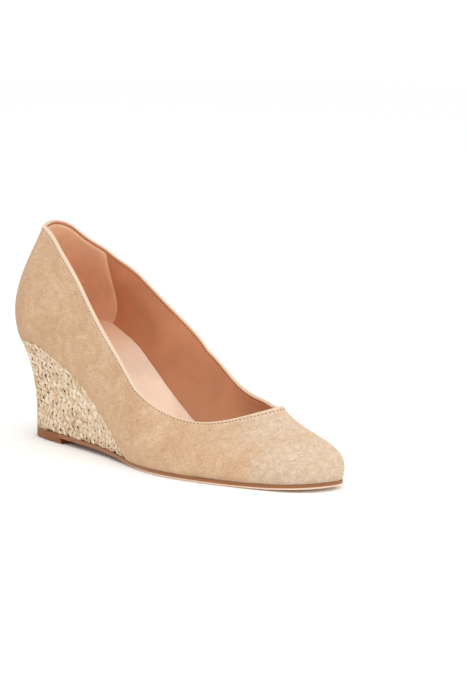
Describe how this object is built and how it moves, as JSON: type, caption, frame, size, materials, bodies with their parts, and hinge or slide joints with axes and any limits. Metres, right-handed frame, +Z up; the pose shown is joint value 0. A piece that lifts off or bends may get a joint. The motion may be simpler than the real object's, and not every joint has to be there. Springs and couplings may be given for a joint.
{
  "type": "wedge pump shoe",
  "caption": "Low-cut pump on a wedge heel: hollow upper, insole, straw-covered wedge, thin sole and top piece.",
  "frame": {"origin": "middle of the top piece's resting face, on the floor", "axes": "+X from the heel to the toe, +Y to the inner side of the foot, +Z up"},
  "size_m": [0.2379, 0.0778, 0.12],
  "materials": {
    "suede": "camel suede with a short nap",
    "insole_leather": "smooth pale peach leather",
    "straw": "plaited natural straw",
    "sole_leather": "tan-brown dyed sole edge",
    "top_piece_rubber": "tan-brown matte rubber"
  },
  "bodies": {
    "root": {"upper": "suede", "insole": "insole_leather", "wedge": "straw", "outsole": "sole_leather", "top_piece": "top_piece_rubber"}
  },
  "joints": []
}
